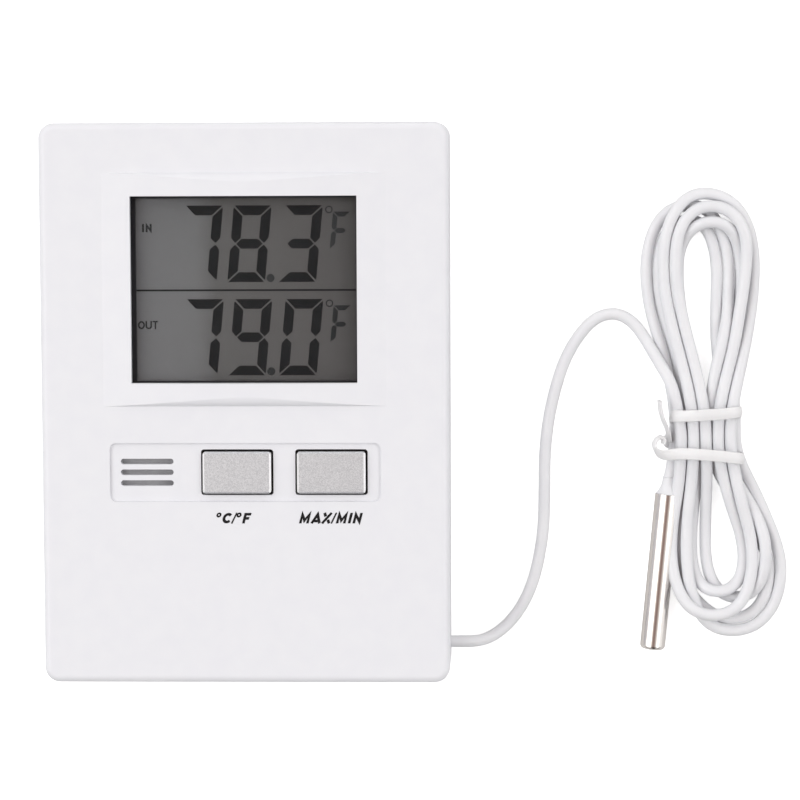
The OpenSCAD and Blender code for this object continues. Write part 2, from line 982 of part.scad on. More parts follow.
module cord_clamp() {
    color("white")
        difference() {
            translate([clamp_x, cord_exit_y, clamp_z])
                linear_extrude(clamp_t)
                    rotate([0, 0, 90])
                        slot(2 * (clamp_post_gap + clamp_post_r), clamp_w);
            at_clamp_screws()
                cylinder(r = clamp_screw_r + 2 * clamp_screw_fit, h = body_d);
        }
}

module clamp_screws() {
    color("silver")
        at_clamp_screws()
            translate([0, 0, clamp_z + clamp_t + clamp_screw_head_t])
                mirror([0, 0, 1])
                    screw(0, clamp_screw_head_r, clamp_screw_head_t, clamp_screw_r, 6);
}

module case_screws() {
    color("silver")
        at_case_screws()
            screw(well_z - screw_head_t, screw_head_r, screw_head_t, screw_r, screw_top);
}

module board_screws() {
    color("silver")
        at_board_screws()
            screw(board_z - 1.2, board_screw_head_r, 1.2, board_screw_r, board_screw_top);
}

// ---- Free cord, hank, tie and probe ----

module sensor_cord() {
    color("white")
        sweep(smooth(cord_route, 3), cord_r, cord_sides);
}

module sensor_cord_tail() {
    color("white")
        sweep(smooth(tail_route, 3), cord_r, cord_sides);
}

module lobe(circles) {
    hull()
        for (c = circles)
            translate([c[0], c[1]])
                circle(c[2], $fn = hank_fn);
}

module cord_hank() {
    color("white")
        translate([0, 0, hank_z])
            linear_extrude(hank_t)
                union() {
                    lobe(upper_lobe);
                    lobe(lower_lobe);
                }
}

// One wrap of the tie: a flat band bent into a rounded loop, upright on the surface
module tie_wrap(y) {
    translate([tie_x, y + tie_w / 2, tie_h / 2])
        rotate([90, 0, 0])
            linear_extrude(tie_w)
                difference() {
                    outline(tie_span, tie_h, tie_h / 3);
                    outline(tie_span - 2 * tie_t, tie_h - 2 * tie_t, tie_h / 3 - tie_t);
                }
}

module twist_tie() {
    color("white") {
        for (y = tie_ys)
            tie_wrap(y);
        translate([tie_x - tie_span / 2, tie_ys[1], tie_h / 3])
            cube([tie_t, tie_ys[0] - tie_ys[1], tie_w]);
        translate([tie_x - tie_span / 2 - tie_t, tie_ys[1], tie_h / 3])
            cube([tie_t + eps, tie_tail_l, tie_w]);
    }
}

// Probe's own frame: its axis along +Z, tip at 0
module at_probe() {
    translate([probe_top[0], probe_top[1], probe_r])
        rotate([0, 0, -probe_lean])
            rotate([-90, 0, 0])
                translate([0, 0, -probe_l])
                    children();
}

module rounded_rod(r, l) {
    rotate_extrude()
        union() {
            translate([0, probe_end_r])
                square([r, l - probe_end_r]);
            square([r - probe_end_r, l]);
            translate([r - probe_end_r, probe_end_r])
                circle(probe_end_r);
        }
}

module probe_tube() {
    color("lightsteelblue")
        at_probe()
            difference() {
                rounded_rod(probe_r, probe_l);
                translate([0, 0, probe_wall + probe_end_r])
                    cylinder(r = probe_r - probe_wall, h = probe_l);
            }
}

module probe_boot() {
    color("white")
        at_probe() {
            translate([0, 0, probe_l - boot_plug_l])
                cylinder(r = probe_r - probe_wall - screw_fit, h = boot_plug_l);
            translate([0, 0, probe_l])
                cylinder(r1 = probe_r - probe_wall - screw_fit, r2 = cord_r + 0.1, h = boot_l);
        }
}

module probe_thermistor() {
    color("black")
        at_probe() {
            translate([0, 0, bead_back])
                sphere(bead_r);
            for (x = [-1, 1])
                translate([x * bead_r / 2, 0, bead_back])
                    cylinder(r = sensor_lead_r, h = probe_l - boot_plug_l - bead_back);
        }
}

front_cover();
rear_cover();
battery_door();
stand_leg();
display_window();
lcd_holder();
lcd_front_polariser();
lcd_front_glass();
lcd_rear_glass();
lcd_reflector();
zebra_strip();
circuit_board();
chip_blob();
crystal();
board_components();
room_sensor();
vent_screen();
button_unit();
button_memory();
dome_unit();
dome_memory();
carbon_pill_unit();
carbon_pill_memory();
battery_cell();
battery_contact_positive();
battery_contact_negative();
battery_spring();
red_lead();
black_lead();
sensor_lead();
sensor_cores();
cord_clamp();
clamp_screws();
case_screws();
board_screws();
sensor_cord();
cord_hank();
sensor_cord_tail();
twist_tie();
probe_boot();
probe_tube();
probe_thermistor();
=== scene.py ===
import math

import bmesh
import bpy
import numpy as np
from mathutils import Euler, Matrix, Vector


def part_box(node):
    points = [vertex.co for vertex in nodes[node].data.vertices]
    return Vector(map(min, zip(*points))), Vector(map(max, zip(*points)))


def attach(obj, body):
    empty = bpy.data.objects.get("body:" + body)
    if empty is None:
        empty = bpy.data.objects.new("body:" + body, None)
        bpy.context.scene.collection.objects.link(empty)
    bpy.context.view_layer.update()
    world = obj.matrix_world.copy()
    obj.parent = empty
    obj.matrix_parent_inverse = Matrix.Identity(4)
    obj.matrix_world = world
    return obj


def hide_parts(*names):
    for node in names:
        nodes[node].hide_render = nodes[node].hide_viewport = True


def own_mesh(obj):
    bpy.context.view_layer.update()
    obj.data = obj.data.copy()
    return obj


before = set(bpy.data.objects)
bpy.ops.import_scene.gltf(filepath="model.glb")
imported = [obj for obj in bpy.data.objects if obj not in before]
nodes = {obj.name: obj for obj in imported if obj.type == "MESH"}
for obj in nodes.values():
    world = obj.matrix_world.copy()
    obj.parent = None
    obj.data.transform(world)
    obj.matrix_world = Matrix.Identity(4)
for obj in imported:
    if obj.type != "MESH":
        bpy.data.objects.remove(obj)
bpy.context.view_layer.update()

MM = 0.001

# ---- Camera: above the front face, fitted to the case's outline in the photograph ----

CAMERA_AT = (0.05035, 0.05022, 0.61027)
CAMERA_TURN = (-0.08346, 0.03343, -0.00426)
CAMERA_LENS = 136.7


def make_camera():
    data = bpy.data.cameras.new("camera")
    data.lens = CAMERA_LENS
    data.sensor_width = 36
    data.clip_start = 0.01
    camera = bpy.data.objects.new("camera", data)
    camera.location = CAMERA_AT
    camera.rotation_euler = Euler(CAMERA_TURN)
    bpy.context.scene.collection.objects.link(camera)
    bpy.context.scene.camera = camera


# ---- Cord: its free route, the hank's turns and the tail to the probe ----

CORD_D = 0.0024
CORD_R = CORD_D / 2
LIE_Z = 0.00125
CORD_STEP = 0.001
# Bends tighter than this are eased open a little at a time; it is no limit, and tighter ones are left
EASE_RADIUS = 0.0062

# The same points as the cord's route in the CAD source
FREE_ROUTE = [
    (0.038, -0.0486, 0.008), (0.040, -0.0486, 0.008), (0.042, -0.0486, 0.0078),
    (0.0445, -0.0488, 0.0066), (0.0472, -0.0486, 0.0044), (0.050, -0.0472, 0.0024),
    (0.0524, -0.045, LIE_Z), (0.0548, -0.0414, LIE_Z), (0.0566, -0.037, LIE_Z),
    (0.0578, -0.032, LIE_Z), (0.0586, -0.026, LIE_Z), (0.0588, -0.019, LIE_Z),
    (0.0589, -0.012, LIE_Z), (0.0596, -0.005, LIE_Z), (0.061, 0.0015, LIE_Z),
    (0.063, 0.0075, LIE_Z), (0.0658, 0.0124, LIE_Z), (0.0692, 0.016, LIE_Z),
    (0.0732, 0.0172, LIE_Z), (0.0768, 0.0154, LIE_Z), (0.080, 0.0116, LIE_Z)]
TAIL_ROUTE = [
    (0.0848, -0.0126, 0.0025), (0.0844, -0.0142, 0.0025), (0.08385, -0.016, 0.0025),
    (0.08368, -0.01775, 0.0025)]

# From the free route up and over the hank's first strands, to the tie
CLIMB = [(0.0816, 0.0092, 0.0023), (0.0833, 0.0056, 0.0036), (0.0847, 0.0018, 0.0048)]

# Where each strand passes the tie, as (x, z), in the order in which the cord goes through
WAIST_Y = -0.0077
LOW, HIGH = 0.0024, 0.0064
WAIST = [
    (0.0862, 0.0054), (0.0957, 0.0054), (0.0886, 0.0062), (0.0959, 0.0030), (0.0898, 0.0042),
    (0.0933, 0.0062), (0.0909, HIGH), (0.0936, LOW), (0.0882, LOW), (0.0922, 0.0042), (0.0860, 0.0028)]

# Half turns between those passes, lower and upper in turn, as (left side, end, right side)
HALF_TURNS = [
    ((0.0844, -0.0302, 0.0046), (0.0935, -0.0437, 0.0050), (0.1007, -0.0326, 0.0046)),
    ((0.0827, 0.0255, 0.0042), (0.0908, 0.0404, 0.0026), (0.1005, 0.0262, 0.0032)),
    ((0.0875, -0.0298, 0.0040), (0.0970, -0.0471, 0.0026), (0.1054, -0.0344, 0.0032)),
    ((0.0852, 0.0270, 0.0034), (0.0919, 0.0363, 0.0030), (0.0976, 0.0261, 0.0020)),
    ((0.0876, -0.0312, 0.0020), (0.0934, -0.0411, 0.0028), (0.0992, -0.0331, 0.0032)),
    ((0.0846, 0.0263, 0.0058), (0.0916, 0.0382, 0.0050), (0.0985, 0.0286, 0.0050)),
    ((0.0910, -0.0297, 0.0014), (0.0973, -0.0421, 0.0013), (0.1031, -0.0325, 0.0026)),
    ((0.0813, 0.0242, 0.0029), (0.0882, 0.0367, 0.0022), (0.0946, 0.0243, 0.0024)),
    ((0.0861, -0.0301, 0.0013), (0.0958, -0.0455, 0.0013), (0.1044, -0.0351, 0.0013)),
    ((0.0795, 0.0250, 0.0013), (0.0880, 0.0390, 0.0013), (0.0955, 0.0240, 0.0013))]

# The cord keeps its place within these distances of the case and of the probe
HELD_AT_CASE, HELD_AT_PROBE = 0.014, 0.003
# Strands count as tied this near the tie along Y, and to the right of this X
TIE_REACH, HANK_LEFT = 0.0055, 0.083


def bezier(a, b, c, d, count=12):
    """Points along a cubic curve, without its last one."""
    t = np.linspace(0, 1, count, endpoint=False)[:, None]
    a, b, c, d = (np.array(p, float) for p in (a, b, c, d))
    return a * (1 - t) ** 3 + 3 * b * t * (1 - t) ** 2 + 3 * c * t * t * (1 - t) + d * t ** 3


def leg(a, b):
    """A strand that leaves a and reaches b along Y, shifting sideways in between."""
    third = (b[1] - a[1]) / 3
    return bezier(a, (a[0], a[1] + third, a[2]), (b[0], b[1] - third, b[2]), b)


def round_end(side, end):
    """A quarter turn from a strand's widest place to the end of its loop."""
    rise, reach = 0.56, 0.7
    before = (side[0], side[1] + rise * (end[1] - side[1]), side[2])
    after = (end[0] + reach * (side[0] - end[0]), end[1], end[2])
    return bezier(side, before, after, end)


def half_turn(start, stop, sides):
    """One loop from the tie and back: a leg, two quarter turns and a leg."""
    left, end, right = sides
    if abs(start[0] - left[0]) > abs(start[0] - right[0]) or end[1] > 0:
        left, right = right, left
    back = round_end(right, end)[::-1]
    return np.vstack([leg(start, left), round_end(left, end), [end], back[:-1], leg(right, stop)])


def smooth_path(points, count=8):
    """A Catmull-Rom curve through the points."""
    p = np.array(points, float)
    p = np.vstack([2 * p[0] - p[1], p, 2 * p[-1] - p[-2]])
    out = []
    for a, b, c, d in zip(p[:-3], p[1:-2], p[2:-1], p[3:]):
        out.append(bezier(b, b + (c - a) / 6, c - (d - b) / 6, c, count))
    return np.vstack(out + [p[-2:-1]])


def even_steps(path, step):
    """The same line with points an even step apart."""
    along = np.concatenate([[0], np.cumsum(np.linalg.norm(np.diff(path, axis=0), axis=1))])
    at = np.linspace(0, along[-1], round(along[-1] / step) + 1)
    return np.stack([np.interp(at, along, path[:, k]) for k in range(3)], axis=1)


def laid_cord():
    """The cord as it is first laid out, from the case to the probe."""
    waist = [(x, WAIST_Y, z) for x, z in WAIST]
    path = [smooth_path(FREE_ROUTE + CLIMB + waist[:1])[:-1]]
    for start, stop, sides in zip(waist, waist[1:], HALF_TURNS):
        path.append(half_turn(start, stop, sides))
    path.append(smooth_path(waist[-1:] + TAIL_ROUTE))
    return even_steps(np.vstack(path), CORD_STEP)


def averaged(values, passes):
    """Smooths a line of values in place, keeping its ends."""
    for _ in range(passes):
        values[1:-1] = (values[:-2] + 2 * values[1:-1] + values[2:]) / 4
    return values


def close_pairs(p, reach, apart):
    """Indices of points that are near each other but not near along the cord."""
    first, second = [], []
    block_size = 200
    for i in range(0, len(p), block_size):
        block = np.linalg.norm(p[i:i + block_size, None] - p[None], axis=2)
        a, b = np.nonzero(block < reach)
        keep = b - (a + i) > apart
        first.append(a[keep] + i)
        second.append(b[keep])
    return np.concatenate(first), np.concatenate(second)


def push_apart(p, pairs, gap, share):
    """Moves points nearer than the gap away from each other, by a share of what is missing."""
    a, b = pairs
    away = p[b] - p[a]
    dist = np.linalg.norm(away, axis=1)
    near = dist < gap
    a, b, away, dist = a[near], b[near], away[near], dist[near]
    move = away * (share * (gap - dist) / np.maximum(dist, 1e-6))[:, None]
    np.add.at(p, b, move / 2)
    np.add.at(p, a, -move / 2)


def ease(p, span=4, share=0.02):
    """Opens the bends tighter than EASE_RADIUS a little."""
    middle = (p[:-2 * span] + p[2 * span:]) / 2 - p[span:-span]
    half_chord = np.linalg.norm(p[2 * span:] - p[:-2 * span], axis=1) / 2
    over = np.linalg.norm(middle, axis=1) / (half_chord ** 2 / (2 * EASE_RADIUS)) - 1
    p[span:-span] += share * np.clip(over, 0, 1)[:, None] * middle


def settle(home, steps=260):
    """Lets the laid-out cord sink onto the surface and onto itself; strands may still overlap slightly."""
    gap = CORD_D * 1.02
    apart = round(3.2 * CORD_D / CORD_STEP)
    sink, pull_home, push_share = 0.00003, 0.99, 0.45
    held = np.linalg.norm(home - home[0], axis=1) < HELD_AT_CASE
    held |= np.linalg.norm(home - home[-1], axis=1) < HELD_AT_PROBE
    floor = np.where(held, home[:, 2], LIE_Z)
    tied = (abs(home[:, 1] - WAIST_Y) < TIE_REACH) & (home[:, 0] > HANK_LEFT)
    floor = np.where(tied, LOW, floor)
    p = home.copy()
    for step in range(steps):
        left = 1 - step / steps
        if step % 6 == 0:
            pairs = close_pairs(p, 1.6 * gap, apart)
        moved = averaged(p - home, 2)
        moved[:, :2] *= pull_home
        moved[:, 2] -= sink * left
        p = home + moved
        p[tied, 2] = np.minimum(p[tied, 2], HIGH + 0.0001)
        for _ in range(3):
            ease(p)
            push_apart(p, pairs, gap, push_share)
            p[:, 2] = np.maximum(p[:, 2], floor)
        p[held] = home[held]
    return p


def line_curve(name, points, radius, resolution=4):
    """One open spline with a round section."""
    data = bpy.data.curves.new(name, "CURVE")
    data.dimensions = "3D"
    data.bevel_depth = radius
    data.bevel_resolution = resolution
    data.use_fill_caps = True
    spline = data.splines.new("POLY")
    spline.points.add(len(points) - 1)
    spline.points.foreach_set("co", np.hstack([points, np.ones((len(points), 1))]).ravel())
    spline.use_smooth = True
    piece = bpy.data.objects.new(name, data)
    bpy.context.scene.collection.objects.link(piece)
    return piece


def make_cord(material):
    path = averaged(settle(laid_cord()), 2)
    cord = line_curve("probe_cord", path, CORD_R)
    cord.data.materials.append(material)
    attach(cord, "case")
    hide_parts("sensor_cord", "cord_hank", "sensor_cord_tail")


# ---- Mesh helpers ----


def piece_from(name, bm, material, smooth=True):
    """Turns a bmesh into a piece that rides on the case."""
    bmesh.ops.recalc_face_normals(bm, faces=bm.faces)
    mesh = bpy.data.meshes.new(name)
    bm.to_mesh(mesh)
    bm.free()
    for face in mesh.polygons:
        face.use_smooth = smooth
    piece = bpy.data.objects.new(name, mesh)
    bpy.context.scene.collection.objects.link(piece)
    piece.data.materials.append(material)
    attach(piece, "case")
    return piece


def add_prism(bm, outline, low, high):
    """Adds a flat shape with straight sides between two heights; the outline runs anticlockwise."""
    below = [bm.verts.new((x, y, low)) for x, y in outline]
    above = [bm.verts.new((x, y, high)) for x, y in outline]
    bm.faces.new(above)
    bm.faces.new(below[::-1])
    for i in range(len(outline)):
        j = (i + 1) % len(outline)
        bm.faces.new((below[i], below[j], above[j], above[i]))


def sweep_section(bm, points, widths, section):
    """Sweeps a closed section along a path; the width vectors say where its first axis points."""
    rings = []
    ahead = np.gradient(points, axis=0)
    for at, along, across in zip(points, ahead, widths):
        along = along / np.linalg.norm(along)
        across = across - along * float(across @ along)
        across = across / np.linalg.norm(across)
        normal = np.cross(along, across)
        rings.append([bm.verts.new(at + u * across + v * normal) for u, v in section])
    count = len(section)
    for a, b in zip(rings, rings[1:]):
        for i in range(count):
            j = (i + 1) % count
            bm.faces.new((a[i], a[j], b[j], b[i]))
    bm.faces.new(rings[0][::-1])
    bm.faces.new(rings[-1])


def turned(bm, profile, count=48):
    """Turns a closed profile of (radius, height) points that starts and ends on the axis."""
    bottom = bm.verts.new((0, 0, profile[0][1]))
    top = bm.verts.new((0, 0, profile[-1][1]))
    rings = []
    for r, z in profile[1:-1]:
        angles = [2 * math.pi * i / count for i in range(count)]
        rings.append([bm.verts.new((r * math.cos(a), r * math.sin(a), z)) for a in angles])
    for i in range(count):
        j = (i + 1) % count
        bm.faces.new((bottom, rings[0][j], rings[0][i]))
        bm.faces.new((top, rings[-1][i], rings[-1][j]))
        for a, b in zip(rings, rings[1:]):
            bm.faces.new((a[i], a[j], b[j], b[i]))


# ---- Twist tie ----

TIE_W = 0.0023
TIE_T = 0.0006
TIE_Y, TIE_UP = (0, 1, 0), (0.25, 0, 1)
# Along the strip: its place in millimetres and which way its width points
TIE_PATH = [
    ((81.6, -0.4, 7.6), TIE_UP), ((81.8, -2.4, 7.3), TIE_UP), ((82.4, -4.4, 6.6), TIE_UP),
    ((83.2, -6.2, 5.4), TIE_UP), ((83.6, -7.8, 4.0), TIE_UP), ((83.6, -9, 2.6), (0.6, 0.5, 0.6)),
    ((84.2, -9.3, 1.5), TIE_Y), ((86, -8.5, 1.0), TIE_Y), ((91, -6.3, 1.15), TIE_Y),
    ((95.6, -4.2, 1), TIE_Y), ((97.3, -3.4, 2), TIE_Y), ((97.8, -3, 4), TIE_Y),
    ((97.6, -2.8, 5.8), TIE_Y), ((96.6, -2.8, 7), TIE_Y), ((94.2, -3, 7.8), TIE_Y),
    ((91, -3.2, 8), TIE_Y), ((88, -3.4, 7.75), TIE_Y), ((85.9, -3.5, 7), TIE_Y),
    ((84.5, -3.6, 5.9), TIE_Y), ((84.1, -4, 3.8), TIE_Y), ((84.3, -4.6, 1.4), TIE_Y),
    ((85.8, -5.3, 0.6), TIE_Y), ((91, -8, 0.55), TIE_Y), ((95.8, -10.6, 0.6), TIE_Y),
    ((97.7, -11.8, 1.8), TIE_Y), ((98.3, -12.1, 4), TIE_Y), ((98.1, -12.1, 5.9), TIE_Y),
    ((97, -11.9, 7.1), TIE_Y), ((94.2, -11.5, 7.8), TIE_Y), ((91, -11.2, 8), TIE_Y),
    ((88, -11, 7.75), TIE_Y), ((85.6, -11, 7.1), TIE_Y), ((83.4, -11.3, 6.6), (0, 1, 0.3)),
    ((81.8, -11.1, 6.3), (0.4, 0.6, 0.7)), ((80.7, -9.9, 6.1), TIE_UP), ((80.8, -8.6, 6), TIE_UP),
    ((81.7, -7.8, 6), TIE_UP), ((82.5, -8.2, 6.1), TIE_UP), ((82.4, -9.1, 6.1), TIE_UP)]
TIE_SECTION_POINTS = 20


def tie_section():
    """A flat strip with rounded edges and the rib of its wire along the middle."""
    rib, rib_w = 0.00016, 0.0004
    section = []
    for i in range(TIE_SECTION_POINTS):
        a = 2 * math.pi * i / TIE_SECTION_POINTS
        c, s = math.cos(a), math.sin(a)
        u = TIE_W / 2 * math.copysign(abs(c) ** 0.7, c)
        v = TIE_T / 2 * math.copysign(abs(s) ** 0.6, s)
        section.append((u, v + math.copysign(rib, s) * math.exp(-(u / rib_w) ** 2) * (abs(s) > 0.1)))
    return section


def make_tie(material):
    places = smooth_path([np.array(p) * MM for p, _ in TIE_PATH], 6)
    widths = smooth_path([np.array(w, float) for _, w in TIE_PATH], 6)
    bm = bmesh.new()
    sweep_section(bm, places, widths, tie_section())
    tie = piece_from("tie_strip", bm, material)
    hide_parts("twist_tie")


# ---- Probe boot: from the cord's diameter it flares to the tube's mouth ----

PROBE_TOP = Vector((0.0835, -0.0196, 0.0025))
PROBE_LEAN = math.radians(5.5)


def at_probe(piece):
    """Puts a piece that was made along +Z, with 0 at the tube's mouth, on the probe's axis."""
    turn = Matrix.Rotation(-PROBE_LEAN, 4, "Z") @ Matrix.Rotation(-math.pi / 2, 4, "X")
    piece.data.transform(Matrix.Translation(PROBE_TOP) @ turn)


def make_boot(material):
    low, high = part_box("probe_tube")
    tube_r = (high.z - low.z) / 2
    plug_r, plug_l, flare_l, neck_r = tube_r - 0.00035, 0.004, 0.0034, CORD_R + 0.00012
    inset, lip = 0.0001, 0.00002
    profile = [(0, -plug_l), (plug_r, -plug_l), (plug_r, 0), (tube_r - inset, lip)]
    for i in range(1, 13):
        t = i / 12
        r = neck_r + (tube_r - inset - neck_r) * (1 - t) ** 2.4
        profile.append((r, lip + flare_l * t))
    profile.append((0, flare_l))
    bm = bmesh.new()
    turned(bm, profile)
    boot = piece_from("boot_flare", bm, material)
    at_probe(boot)
    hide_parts("probe_boot")


# ---- Display: digits, marks and divider on the film under the window ----

INK_T = 0.00004
DIGIT_W, DIGIT_H, SEGMENT_T = 0.0074, 0.01495, 0.0019
DIGIT_SLANT = math.tan(math.radians(5.4))
DIGIT_LEFT = (-0.0129, -0.0034, 0.0066)
ROW_LOW = (0.0239, 0.0056)
READINGS = ("783", "790")
# From a row's left and lower edges: x, y and radius of the decimal point; the same and the hole of the degree
# ring; and x, y, width, height and segment thickness of the F
DOT, DEGREE = (0.0051, 0.00078, 0.0008), (0.0166, 0.0141, 0.00074, 0.0005)
UNIT_F = (0.0167, 0.0063, 0.0034, 0.0074, 0.00098)
DIVIDER_Y, DIVIDER_T = 0.0223, 0.00036
ROW_NAMES, ROW_NAME_H = (("IN", (-0.0189, 0.0345)), ("OUT", (-0.0190, 0.0155))), 0.0016
SEGMENTS = {"0": "abcdef", "3": "abcdg", "7": "abc", "8": "abcdefg", "9": "abcdfg", "F": "aefg"}


def segment_outline(which, w, h, t):
    """One segment of a seven-segment figure of width w and height h, as an outline from its lower left."""
    gap = t * 0.09
    half = h / 2
    long = {
        "a": [(gap, h), (t + gap, h - t), (w - t - gap, h - t), (w - gap, h)],
        "d": [(gap, 0), (w - gap, 0), (w - t - gap, t), (t + gap, t)],
        "g": [(t * 0.5 + gap, half), (t + gap, half - t / 2), (w - t - gap, half - t / 2),
              (w - t * 0.5 - gap, half), (w - t - gap, half + t / 2), (t + gap, half + t / 2)]}
    if which in long:
        return long[which]
    side = [(0, half + t * 0.62), (t * 0.46, half + gap), (t, half + t * 0.5 + gap), (t, h - t - gap * 1.6),
            (gap * 0.9, h - gap * 2.6), (0, h - t * 0.35)]
    if which in "ce":
        side = [(x, h - y) for x, y in reversed(side)]
    if which in "bc":
        side = [(w - x, y) for x, y in reversed(side)]
    return side


def add_figure(bm, figure, left, low, w, h, t, film_z):
    """A slanted seven-segment figure."""
    for which in SEGMENTS[figure]:
        outline = [(left + x + DIGIT_SLANT * y, low + y) for x, y in segment_outline(which, w, h, t)]
        add_prism(bm, outline, film_z, film_z + INK_T)


def add_disc(bm, x, y, r, film_z, hole=0.0):
    """A dot, or a ring when hole is more than 0."""
    count = 28
    turns = [(math.cos(2 * math.pi * i / count), math.sin(2 * math.pi * i / count)) for i in range(count)]
    if not hole:
        add_prism(bm, [(x + r * c, y + r * s) for c, s in turns], film_z, film_z + INK_T)
        return
    rings = [[bm.verts.new((x + q * c, y + q * s, z)) for c, s in turns]
             for q, z in ((r, film_z), (r, film_z + INK_T), (hole, film_z + INK_T), (hole, film_z))]
    for a, b in zip(rings, rings[1:] + rings[:1]):
        for i in range(count):
            j = (i + 1) % count
            bm.faces.new((a[i], a[j], b[j], b[i]))


def add_stroke(bm, line, weight, place, base_z, closed=False):
    """A line of even weight with mitred corners; place turns the letter's own coordinates into the part's."""
    line = [Vector(p) for p in line]
    sides = []
    for i, at in enumerate(line):
        before = (at - line[i - 1]).normalized() if i or closed else None
        after = (line[(i + 1) % len(line)] - at).normalized() if i + 1 < len(line) or closed else None
        before, after = before or after, after or before
        bisector = (before + after).normalized()
        normal = Vector((-bisector.y, bisector.x))
        reach = weight / 2 / max(0.35, bisector.dot(after))
        sides.append((at + normal * reach, at - normal * reach))
    low, high = [[[bm.verts.new((*place(q), z)) for q in pair] for pair in sides]
                 for z in (base_z, base_z + INK_T)]
    steps = list(range(len(sides) - 1)) + ([len(sides) - 1] if closed else [])
    for i in steps:
        j = (i + 1) % len(sides)
        bm.faces.new((high[i][0], high[i][1], high[j][1], high[j][0]))
        bm.faces.new((low[i][0], low[j][0], low[j][1], low[i][1]))
        bm.faces.new((low[i][0], high[i][0], high[j][0], low[j][0]))
        bm.faces.new((low[i][1], low[j][1], high[j][1], high[i][1]))
    if not closed:
        bm.faces.new((low[0][0], low[0][1], high[0][1], high[0][0]))
        bm.faces.new((low[-1][0], high[-1][0], high[-1][1], low[-1][1]))


def arc(x, y, rx, ry, start, stop, count):
    """Points along part of an ellipse, between two angles in degrees."""
    turn = [math.radians(start + (stop - start) * i / (count - 1)) for i in range(count)]
    return [(x + rx * math.cos(a), y + ry * math.sin(a)) for a in turn]


# Letters one unit high: advance width, stroke weight, then strokes along their middles
LETTERS = {
    "C": (0.90, 0.26, [arc(0.42, 0.5, 0.34, 0.37, 42, 318, 17)]),
    "F": (0.80, 0.25, [[(0.125, 0), (0.125, 0.875), (0.66, 0.875)], [(0.25, 0.48), (0.56, 0.48)]]),
    "M": (1.14, 0.25, [[(0.125, 0), (0.125, 0.86), (0.46, 0.26), (0.80, 0.86), (0.80, 0)]]),
    "A": (1.02, 0.25, [[(0.06, 0), (0.43, 0.86), (0.80, 0)], [(0.27, 0.22), (0.59, 0.22)]]),
    "X": (0.88, 0.25, [[(0.03, 0), (0.70, 1)], [(0.03, 1), (0.22, 0.66)], [(0.50, 0.34), (0.70, 0)]]),
    "I": (0.44, 0.25, [[(0.125, 0), (0.125, 1)]]),
    "N": (0.95, 0.25, [[(0.125, 0), (0.125, 0.84), (0.62, 0.16), (0.62, 1)]]),
    "O": (0.92, 0.19, [arc(0.44, 0.5, 0.34, 0.40, 0, 345, 24)]),
    "U": (0.88, 0.19, [[(0.12, 1)] + arc(0.42, 0.36, 0.3, 0.26, 180, 360, 11) + [(0.72, 1)]]),
    "T": (0.76, 0.19, [[(0.02, 0.92), (0.7, 0.92)], [(0.36, 0), (0.36, 0.82)]]),
    "/": (0.45, 0.15, [[(0.03, -0.02), (0.27, 1.02)]]),
    " ": (0.13, 0.1, []),
    "deg": (0.43, 0.16, [arc(-0.05, 0.80, 0.155, 0.155, 0, 345, 24)])}
RINGS = ("O", "deg")


def add_lettering(bm, letters, centre, height, base_z, slant):
    """Writes a short mark, centred on a point."""
    total = sum(LETTERS[c][0] for c in letters) * height
    left = centre[0] - total / 2
    low = centre[1] - height / 2
    for c in letters:
        advance, weight, strokes = LETTERS[c]

        def place(q):
            return left + (q.x + q.y * slant) * height, low + q.y * height
        for line in strokes:
            add_stroke(bm, line, weight, place, base_z, closed=c in RINGS)
        left += advance * height


def make_display(ink, faint_ink):
    film_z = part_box("lcd_front_polariser")[1].z
    solid, faint = bmesh.new(), bmesh.new()
    for low, reading in zip(ROW_LOW, READINGS):
        for left, figure in zip(DIGIT_LEFT, reading):
            add_figure(solid, figure, left, low, DIGIT_W, DIGIT_H, SEGMENT_T, film_z)
        x, y, r = DOT
        add_disc(faint, x, low + y, r, film_z)
        x, y, r, hole = DEGREE
        add_disc(faint, x, low + y, r, film_z, hole=hole)
        x, y, w, h, t = UNIT_F
        add_figure(faint, "F", x, low + y, w, h, t, film_z)
    low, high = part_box("lcd_front_polariser")
    below, above = DIVIDER_Y - DIVIDER_T / 2, DIVIDER_Y + DIVIDER_T / 2
    bar = [(low.x, below), (high.x, below), (high.x, above), (low.x, above)]
    add_prism(solid, bar, film_z, film_z + INK_T)
    for name, centre in ROW_NAMES:
        add_lettering(faint, name, centre, ROW_NAME_H, film_z, 0)
    piece_from("display_digits", solid, ink, smooth=False)
    piece_from("display_marks", faint, faint_ink, smooth=False)


LABEL_Y, LABEL_H, LABEL_SLANT = -0.0223, 0.00207, 0.26
# The front face, on which the labels are printed
LABEL_Z = 0.02


def make_labels(ink):
    for name, letters, middle in (("label_units", ["deg", "C", "/", " ", "deg", "F"], -0.0023),
                                  ("label_record", "MAX/MIN", 0.0167)):
        bm = bmesh.new()
        add_lettering(bm, letters, (middle, LABEL_Y), LABEL_H, LABEL_Z, LABEL_SLANT)
        piece_from(name, bm, ink, smooth=False)


# ---- Materials ----

# How many grains across a material's broad patches are, and how fine its noise is
PATCH, NOISE_DETAIL = 14, 5

